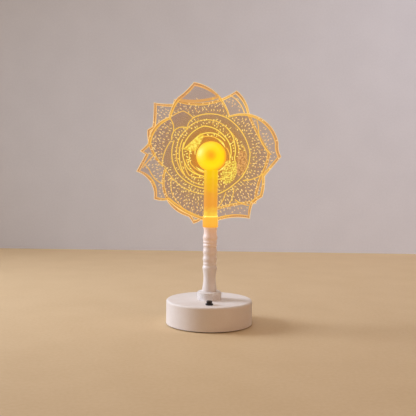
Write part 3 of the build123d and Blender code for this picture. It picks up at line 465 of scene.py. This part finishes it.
def clear_sheet():
    """Cast acrylic, polished: clear, with an amber tint and haze painted near the hub as its light, rosy
    further out.
    """
    material = bpy.data.materials.new("acrylic_cast_clear")
    material.use_nodes = True
    tree = material.node_tree
    tree.nodes.clear()
    place = add(tree, "TexCoord").outputs["Object"]
    smear = add(tree, "TexNoise", {"Vector": place, "Scale": 1 / sheet_smear, "Detail": 2.0}).outputs["Fac"]
    rough = add(tree, "MapRange", {"Value": smear, "To Min": 0.02, "To Max": 0.09}).outputs[0]
    tint = hub_ramp(tree, sheet_tint_and_painted_glow)
    painted_haze = hub_ramp(tree, painted_hub_haze)
    shader = add(tree, "BsdfPrincipled", {
        "Base Color": tint, "Roughness": rough, "IOR": 1.49, "Transmission Weight": 1.0,
        "Emission Color": painted_haze, "Emission Strength": 1.0})
    add(tree, "OutputMaterial", {"Surface": shader.outputs[0]})
    return material


dress(clear_sheet(), "rose_plate_front", "rose_plate_rear")


def engraved_glow(name, stops, strength, frost="#7A6040"):
    """Laser-frosted acrylic that glows: yellow near the hub, and amber, duller or paler further out."""
    material = bpy.data.materials.new(name)
    material.use_nodes = True
    tree = material.node_tree
    tree.nodes.clear()
    shader = add(tree, "BsdfPrincipled", {
        "Base Color": linear(frost), "Roughness": 0.6, "Emission Color": hub_ramp(tree, stops),
        "Emission Strength": strength})
    add(tree, "OutputMaterial", {"Surface": shader.outputs[0]})
    return material


line_glow = engraved_glow("acrylic_engraved_line", [
    (18, "#FFF06A"), (28, "#FCDC58"), (42, "#F4CC56"), (62, "#ECBC50"), (77, "#E8B454"), (88, "#DDAA6C"),
    (100, "#DDAA70")], strength=1.0)
# The rear plate's lines shine through the amber front plate, so they are yellower.
rear_line_glow = engraved_glow("acrylic_engraved_line_rear", [
    (18, "#FFF58A"), (28, "#FFF078"), (42, "#FCE474"), (62, "#F8D46C"), (84, "#E0B068"),
    (100, "#DAAA70")], strength=1.12)
# The cut edge is frosted by the laser's heat and paler than the lines.
edge_glow = engraved_glow("acrylic_laser_cut_edge", [
    (40, "#FFD058"), (62, "#F0CC80"), (100, "#E8D2A2")], strength=0.92, frost="#B09468")
# The dashes of the stippling are the palest, because each scatters the light all over its floor.
stipple_glow = engraved_glow("acrylic_stippled", [
    (18, "#FFF47A"), (30, "#FCE874"), (45, "#F6D878"), (65, "#ECCA84"), (82, "#ECD29C"),
    (100, "#F2DEB4")], strength=1.0)
# The broad band is frosted more lightly than the lines and glows a dull peach.
band_glow = engraved_glow("acrylic_engraved_band", [(60, "#D09A52"), (80, "#CF9A60")], strength=1.0)

smooth_limit = math.radians(35)


def make_piece(name, bm, material, body):
    """Turns a bmesh into a piece that rides on a body, shaded smooth up to a limiting angle."""
    bmesh.ops.recalc_face_normals(bm, faces=bm.faces)
    mesh = bpy.data.meshes.new(name)
    bm.to_mesh(mesh)
    bm.free()
    mesh.polygons.foreach_set("use_smooth", [True] * len(mesh.polygons))
    mesh.set_sharp_from_angle(angle=smooth_limit)
    mesh.materials.append(material)
    piece = bpy.data.objects.new(name, mesh)
    bpy.context.scene.collection.objects.link(piece)
    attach(piece, body)


# The grooves are cut 0.35 mm deep, and the frost fills them to a hair under the face. A face lies flat
# where its normal's part in depth is over the one limit, and stands on edge where it is under the other.
engraving_depth = 0.35 * mm
line_sink = 0.03 * mm
bore_reach = 20 * mm
edge_width = 0.7 * mm
edge_proud = 0.02 * mm
weld = 0.001 * mm
flat_limit = 0.9
edge_limit = 0.5


def plate_copy(node):
    """Merged copy of a plate's mesh."""
    bm = bmesh.new()
    bm.from_mesh(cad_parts[node].data)
    bmesh.ops.remove_doubles(bm, verts=bm.verts, dist=weld)
    return bm


def from_hub(point):
    """Distance of a point from the hub's axis."""
    return math.hypot(point.x, point.z - hub_axis.z)


def inside(corners, x, z):
    """Whether a point right of and above the hub lies inside an area given clockwise in millimetres."""
    return all((x2 - x1) * mm * (z - z1 * mm) < (z2 - z1) * mm * (x - x1 * mm)
               for (x1, z1), (x2, z2) in zip(corners, corners[1:] + corners[:1]))


# Area round the broad band below the front plate's top petal, right of and above the hub, clockwise.
band_area = [(-39, 74), (8, 79), (8, 71.5), (-20, 63.5), (-39, 66)]


def engraved_lines(node, body, name, glow, in_band=False):
    """Frosted floor of the engraved lines or of the band, thickened so that it nearly fills the groove."""
    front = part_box(node)[0][1]
    bm = plate_copy(node)

    def wanted(face):
        middle = face.calc_center_median()
        on_floor = abs(face.normal.y) > flat_limit and abs(middle.y - front - engraving_depth) < line_sink
        banded = node == "rose_plate_front" and inside(band_area, middle.x, middle.z - hub_axis.z)
        return on_floor and banded == in_band

    kept = {face for face in bm.faces if wanted(face)}
    bmesh.ops.delete(bm, geom=[face for face in bm.faces if face not in kept], context="FACES")
    grown = bmesh.ops.extrude_face_region(bm, geom=bm.faces[:], use_keep_orig=True)
    raised = [item for item in grown["geom"] if isinstance(item, bmesh.types.BMVert)]
    bmesh.ops.translate(bm, verts=raised, vec=(0, line_sink - engraving_depth, 0))
    bmesh.ops.translate(bm, verts=bm.verts, vec=(0, -line_sink / 2, 0))
    make_piece(name, bm, glow, body)


def cut_edge(node, body, name):
    """Cut rim of a plate as a glowing ribbon, a hair proud of the sheet and a little way into it."""
    low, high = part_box(node)
    bm = plate_copy(node)
    kept = {face for face in bm.faces
            if abs(face.normal.y) < edge_limit and from_hub(face.calc_center_median()) > bore_reach
            and max(vert.co.y for vert in face.verts) > high[1] - line_sink
            and min(vert.co.y for vert in face.verts) < low[1] + line_sink}
    bmesh.ops.delete(bm, geom=[face for face in bm.faces if face not in kept], context="FACES")
    bmesh.ops.recalc_face_normals(bm, faces=bm.faces)
    bmesh.ops.solidify(bm, geom=bm.faces[:], thickness=edge_width)
    middle = (low[1] + high[1]) / 2
    swell = 1 + 2 * edge_proud / (high[1] - low[1])
    for vert in bm.verts:
        vert.co.y = middle + (vert.co.y - middle) * swell
    make_piece(name, bm, edge_glow, body)


# The margin outside the border is painted with shade: a thin film under which the sheet still shows, standing
# for the dark that the cut edge refracts, golden where the outline comes near the hub and brown out on the
# tips.
margin_shade_stops = [(58, "#FFD058"), (73, "#F2BA4C"), (81, "#C88A3E"), (100, "#CC9450")]
veil_proud = 0.01 * mm
veil_depth = 0.06 * mm
margin_shade = bpy.data.materials.new("acrylic_margin_painted_shade")
margin_shade.use_nodes = True
margin_shade_tree = margin_shade.node_tree
margin_shade_tree.nodes.clear()
margin_shade_shader = add(margin_shade_tree, "BsdfPrincipled", {
    "Base Color": linear("#A87434"), "Roughness": 0.55, "Emission Color": hub_ramp(margin_shade_tree, margin_shade_stops),
    "Emission Strength": 0.85, "Alpha": 0.5})
add(margin_shade_tree, "OutputMaterial", {"Surface": margin_shade_shader.outputs[0]})


def margin_shade_film(node, body, name):
    """Film of painted shade over the front face between the rim and the border groove."""
    low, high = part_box(node)
    bm = plate_copy(node)

    def faces_front(face):
        return face.normal.y < -flat_limit and abs(face.calc_center_median().y - low[1]) < line_sink

    def on_rim(face):
        back = max(vert.co.y for vert in face.verts)
        return (abs(face.normal.y) < edge_limit and back > high[1] - line_sink
                and from_hub(face.calc_center_median()) > bore_reach)

    waiting = [face for face in bm.faces if faces_front(face)
               and any(on_rim(other) for edge in face.edges for other in edge.link_faces)]
    margin = set(waiting)
    while waiting:
        for edge in waiting.pop().edges:
            for other in edge.link_faces:
                if other not in margin and faces_front(other):
                    margin.add(other)
                    waiting.append(other)
    bmesh.ops.delete(bm, geom=[face for face in bm.faces if face not in margin], context="FACES")
    grown = bmesh.ops.extrude_face_region(bm, geom=bm.faces[:], use_keep_orig=True)
    raised = [item for item in grown["geom"] if isinstance(item, bmesh.types.BMVert)]
    bmesh.ops.translate(bm, verts=raised, vec=(0, -veil_proud - veil_depth, 0))
    bmesh.ops.translate(bm, verts=bm.verts, vec=(0, veil_depth, 0))
    make_piece(name, bm, margin_shade, body)


for node, body, name, glow in (("rose_plate_front", "front_rose", "front_plate", line_glow),
                               ("rose_plate_rear", "rear_rose", "rear_plate", rear_line_glow)):
    engraved_lines(node, body, name + "_lines", glow)
    cut_edge(node, body, name + "_cut_edge")
    margin_shade_film(node, body, name + "_margin")
engraved_lines("rose_plate_front", "front_rose", "front_plate_band", band_glow, in_band=True)

# Painted glow: pools of the globe's light painted in small folds by the globe, on the front plate's
# face. Two are bright yellow, a third, on the right, is orange, and four slim arcs of pale yellow, painted
# highlights, lie close round the globe. Corners are in millimetres right of and above the hub, clockwise.
speckled_glow_patch = [(18, -6), (24, -5), (31, -7), (32, -19), (29, -28), (24, -33), (17, -34), (12, -26),
                 (15, -15)]
bright_glow_patch = [(-35, 8), (-24, 18), (-13, 28), (-9, 25), (-13, 16), (-18, 7), (-25, 5)]
orange_glow_patch = [(34, 7), (42, 7), (45, -7), (42, -18), (35, -25), (31, -20), (32, -7)]
# Slim arcs: start and end angle clockwise from the top, the reach at both ends and the greatest width.
pale_glow_arcs = [(12, 62, 22.6, 19.6, 2.4), (108, 160, 21.0, 20.6, 2.0), (196, 236, 20.4, 23.0, 2.0),
             (270, 312, 19.6, 22.8, 1.8)]
arc_steps = 12
fold_depth = 0.1 * mm
# The painted glow's darker clouds give way to the bright ground between these two values of the noise.
spot_end, ground_start = 0.34, 0.64


def slim_arc(start, end, first_reach, last_reach, width):
    """Corners of an arc round the hub that swells from nothing to its width and back."""
    outer, inner = [], []
    for step in range(arc_steps + 1):
        share = step / arc_steps
        angle = math.radians(start + (end - start) * share)
        reach = first_reach + (last_reach - first_reach) * share
        half = width / 2 * math.sin(math.pi * share)
        outer.append(((reach + half) * math.sin(angle), (reach + half) * math.cos(angle)))
        inner.append(((reach - half) * math.sin(angle), (reach - half) * math.cos(angle)))
    return outer + inner[-2:0:-1]


def painted_glow_finish(name, spot, ground, grain, strength, cover=(0.3, 0.8)):
    """Painted glow on the acrylic: bright ground with darker clouds of a real size, and a soft outline."""
    material = bpy.data.materials.new(name)
    material.use_nodes = True
    tree = material.node_tree
    tree.nodes.clear()
    place = add(tree, "TexCoord").outputs["Object"]
    cloud = add(tree, "TexNoise", {"Vector": place, "Scale": 1 / grain, "Detail": 2.0}).outputs["Fac"]
    bare = add(tree, "MapRange", {"Value": cloud, "From Min": spot_end, "From Max": ground_start},
               interpolation_type="SMOOTHSTEP").outputs[0]
    tone = add(tree, "Mix", {"Factor": bare, 6: linear(spot), 7: linear(ground)}, data_type="RGBA").outputs[2]
    dense = add(tree, "MapRange", {"Value": bare, "To Min": cover[0], "To Max": cover[1]}).outputs[0]
    fade = add(tree, "Attribute", attribute_name="fade").outputs["Fac"]
    soft = add(tree, "Math", {0: dense, 1: fade}, operation="MULTIPLY").outputs[0]
    shader = add(tree, "BsdfPrincipled", {
        "Base Color": linear("#6A4A1A"), "Roughness": 0.6, "Emission Color": tone,
        "Emission Strength": strength, "Alpha": soft})
    add(tree, "OutputMaterial", {"Surface": shader.outputs[0]})
    return material


def painted_glow_patches(folds, name, material, fade_width):
    """Thin slabs of painted glow in the front plate's front face, which fade out towards their outlines."""
    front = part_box("rose_plate_front")[0][1]
    bm = bmesh.new()
    fade = bm.verts.layers.float.new("fade")
    faces = [bm.faces.new([bm.verts.new((x * mm, front - veil_proud, hub_axis.z + z * mm))
                           for x, z in corners]) for corners in folds]
    outline = set(bm.verts)
    bmesh.ops.inset_individual(bm, faces=faces, thickness=fade_width)
    for vert in bm.verts:
        vert[fade] = 0.0 if vert in outline else 1.0
    grown = bmesh.ops.extrude_face_region(bm, geom=bm.faces[:], use_keep_orig=True)
    sunk = [item for item in grown["geom"] if isinstance(item, bmesh.types.BMVert)]
    bmesh.ops.translate(bm, verts=sunk, vec=(0, fold_depth, 0))
    make_piece(name, bm, material, "front_rose")


painted_glow_patches([bright_glow_patch], "front_plate_painted_glow_bright",
              painted_glow_finish("acrylic_painted_glow_bright", "#E8C040", "#F8EC66", grain=3 * mm, strength=1.0,
                         cover=(0.5, 0.85)), fade_width=2.8 * mm)
painted_glow_patches([speckled_glow_patch], "front_plate_painted_glow_speckled",
              painted_glow_finish("acrylic_painted_glow_speckled", "#C8902E", "#F4EA6A", grain=2 * mm, strength=1.0),
              fade_width=2.4 * mm)
painted_glow_patches([orange_glow_patch], "front_plate_painted_glow_orange",
              painted_glow_finish("acrylic_painted_glow_orange", "#B07C4A", "#E8B06C", grain=2.2 * mm, strength=0.9),
              fade_width=2.4 * mm)
painted_glow_patches([slim_arc(*arc) for arc in pale_glow_arcs], "front_plate_painted_glow_arcs",
              painted_glow_finish("acrylic_painted_glow_pale", "#F8D848", "#FFF484", grain=3 * mm, strength=1.0,
                         cover=(0.8, 1.0)), fade_width=0.3 * mm)

# Stippling: short dashes that the laser burns into the petals between the lines, in rings round the
# hub, each pointing more or less away from it. The real ones are about 0.1 mm deep, and these are
# drawn 0.25 mm deep so that they also show from the side.
dash_sink = 0.25 * mm
dash_proud = 0.015 * mm
dash_sides = 8
stipple_start = 25.5 * mm
stipple_end = 97 * mm
probe_start = 1 * mm
# The spacing of rings and dashes starts at the first share of the pitch at the axis, and the second is
# added to it on the way to the last ring.
first_spacing = 0.78
added_spacing = 0.3
# How far a dash may stray, as shares of the spacing, in degrees, and as shares of its length and width.
stray_share = 0.3
stray_turn = 45
shortest, longest = 0.55, 1.2
narrowest, widest = 0.75, 1.15
# The face has to be clear as far out as this share of the dash's length or width.
clear_share = 0.65
# Of the dashes within a plate's thinned reach, this share is left out.
thinned_share = 0.75

# Petals left bare, as corners in millimetres right of and above the hub, clockwise, and narrow folds
# left bare, as start and end angle clockwise from the top and inner and outer reach in millimetres.
top_petal = [(-52, 68), (-30, 98), (0, 98), (16, 72)]
tent_petal = [(-49, 50), (-35, 57), (-22, 48), (-29, 35), (-46, 32)]
crescent = [(-35, 16), (-30, 27), (-23, 33), (-15, 36), (-4, 36), (2, 32), (0, 29), (-33, 9)]
bare_folds = [(340, 15, 45, 51), (15, 38, 42, 49.5), (38, 62, 39, 45), (62, 118, 42, 47),
              (118, 150, 37, 43.5), (195, 248, 23, 28), (200, 240, 37, 39), (256, 288, 51, 58)]


def stippling(node, body, name, seed, pitch, length, width, bare, thinned_reach=0.0):
    """Dashes over a plate's front face, clear of its lines and edges and of the petals left bare."""
    chance = random.Random(seed)
    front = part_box(node)[0][1]
    solid = plate_copy(node)
    tree = BVHTree.FromBMesh(solid)
    solid.free()
    bm = bmesh.new()

    def on_face(x, z):
        start = Vector((x, front - probe_start, hub_axis.z + z))
        hit = tree.ray_cast(start, Vector((0, 1, 0)), 2 * probe_start)[0]
        return hit is not None and abs(hit.y - front) < line_sink

    def left_bare(x, z, angle, reach):
        turned = math.degrees(angle)
        return any(inside(petal, x, z) for petal in bare) or any(
            inner * mm < reach < outer * mm and (turned - first) % 360 < (last - first) % 360
            for first, last, inner, outer in bare_folds)

    ring_radius = stipple_start
    while ring_radius < stipple_end:
        spacing = pitch * (first_spacing + added_spacing * ring_radius / stipple_end)
        count = round(2 * math.pi * ring_radius / spacing)
        start = chance.random() * 2 * math.pi
        for index in range(count):
            angle = start + (index + chance.uniform(-stray_share, stray_share)) * 2 * math.pi / count
            reach = ring_radius + chance.uniform(-stray_share, stray_share) * spacing
            x, z = reach * math.sin(angle), reach * math.cos(angle)
            turn = angle + math.radians(chance.uniform(-stray_turn, stray_turn))
            long = length * chance.uniform(shortest, longest)
            wide = width * chance.uniform(narrowest, widest)
            if left_bare(x, z, angle, reach) or (reach < thinned_reach and chance.random() < thinned_share):
                continue
            spots = [(x, z)]
            for side in (-clear_share, clear_share):
                spots.append((x + side * long * math.sin(turn), z + side * long * math.cos(turn)))
                spots.append((x + side * wide * math.cos(turn), z - side * wide * math.sin(turn)))
            if not all(on_face(*spot) for spot in spots):
                continue
            place = (Matrix.Translation((x, front - dash_proud, hub_axis.z + z))
                     @ Matrix.Rotation(turn, 4, "Y") @ Matrix.Diagonal((wide, 1, long, 1))
                     @ Matrix.Rotation(math.pi / 2, 4, "X"))
            bmesh.ops.create_circle(bm, cap_ends=True, segments=dash_sides, radius=0.5, matrix=place)
        ring_radius += spacing
    grown = bmesh.ops.extrude_face_region(bm, geom=bm.faces[:], use_keep_orig=True)
    sunk = [item for item in grown["geom"] if isinstance(item, bmesh.types.BMVert)]
    bmesh.ops.translate(bm, verts=sunk, vec=(0, dash_sink, 0))
    make_piece(name, bm, stipple_glow, body)


stippling("rose_plate_front", "front_rose", "front_plate_stippling", seed=5, pitch=4.3 * mm,
          length=2.9 * mm, width=1.4 * mm,
          bare=[top_petal, tent_petal, crescent, bright_glow_patch, speckled_glow_patch, orange_glow_patch])
stippling("rose_plate_rear", "rear_rose", "rear_plate_stippling", seed=8, pitch=3.7 * mm,
          length=2.7 * mm, width=1.4 * mm, bare=[tent_petal, crescent], thinned_reach=68 * mm)

# Leads: stranded copper in extruded sleeves, which run from the board and battery to the switch, up
# inside the column to the chips, and through the spindle to the ring of lights.
# PVC, extruded: dark red with a soft shine, and faint 1.5 mm smears from handling.
dress(grained_finish("pvc_sleeve_extruded", ("#8E1F19", "#A92D22"), grain=1.5 * mm, roughness=(0.35, 0.5),
                     relief=0.01 * mm), "main_leads", "battery_leads", "switch_leads", "hub_leads")
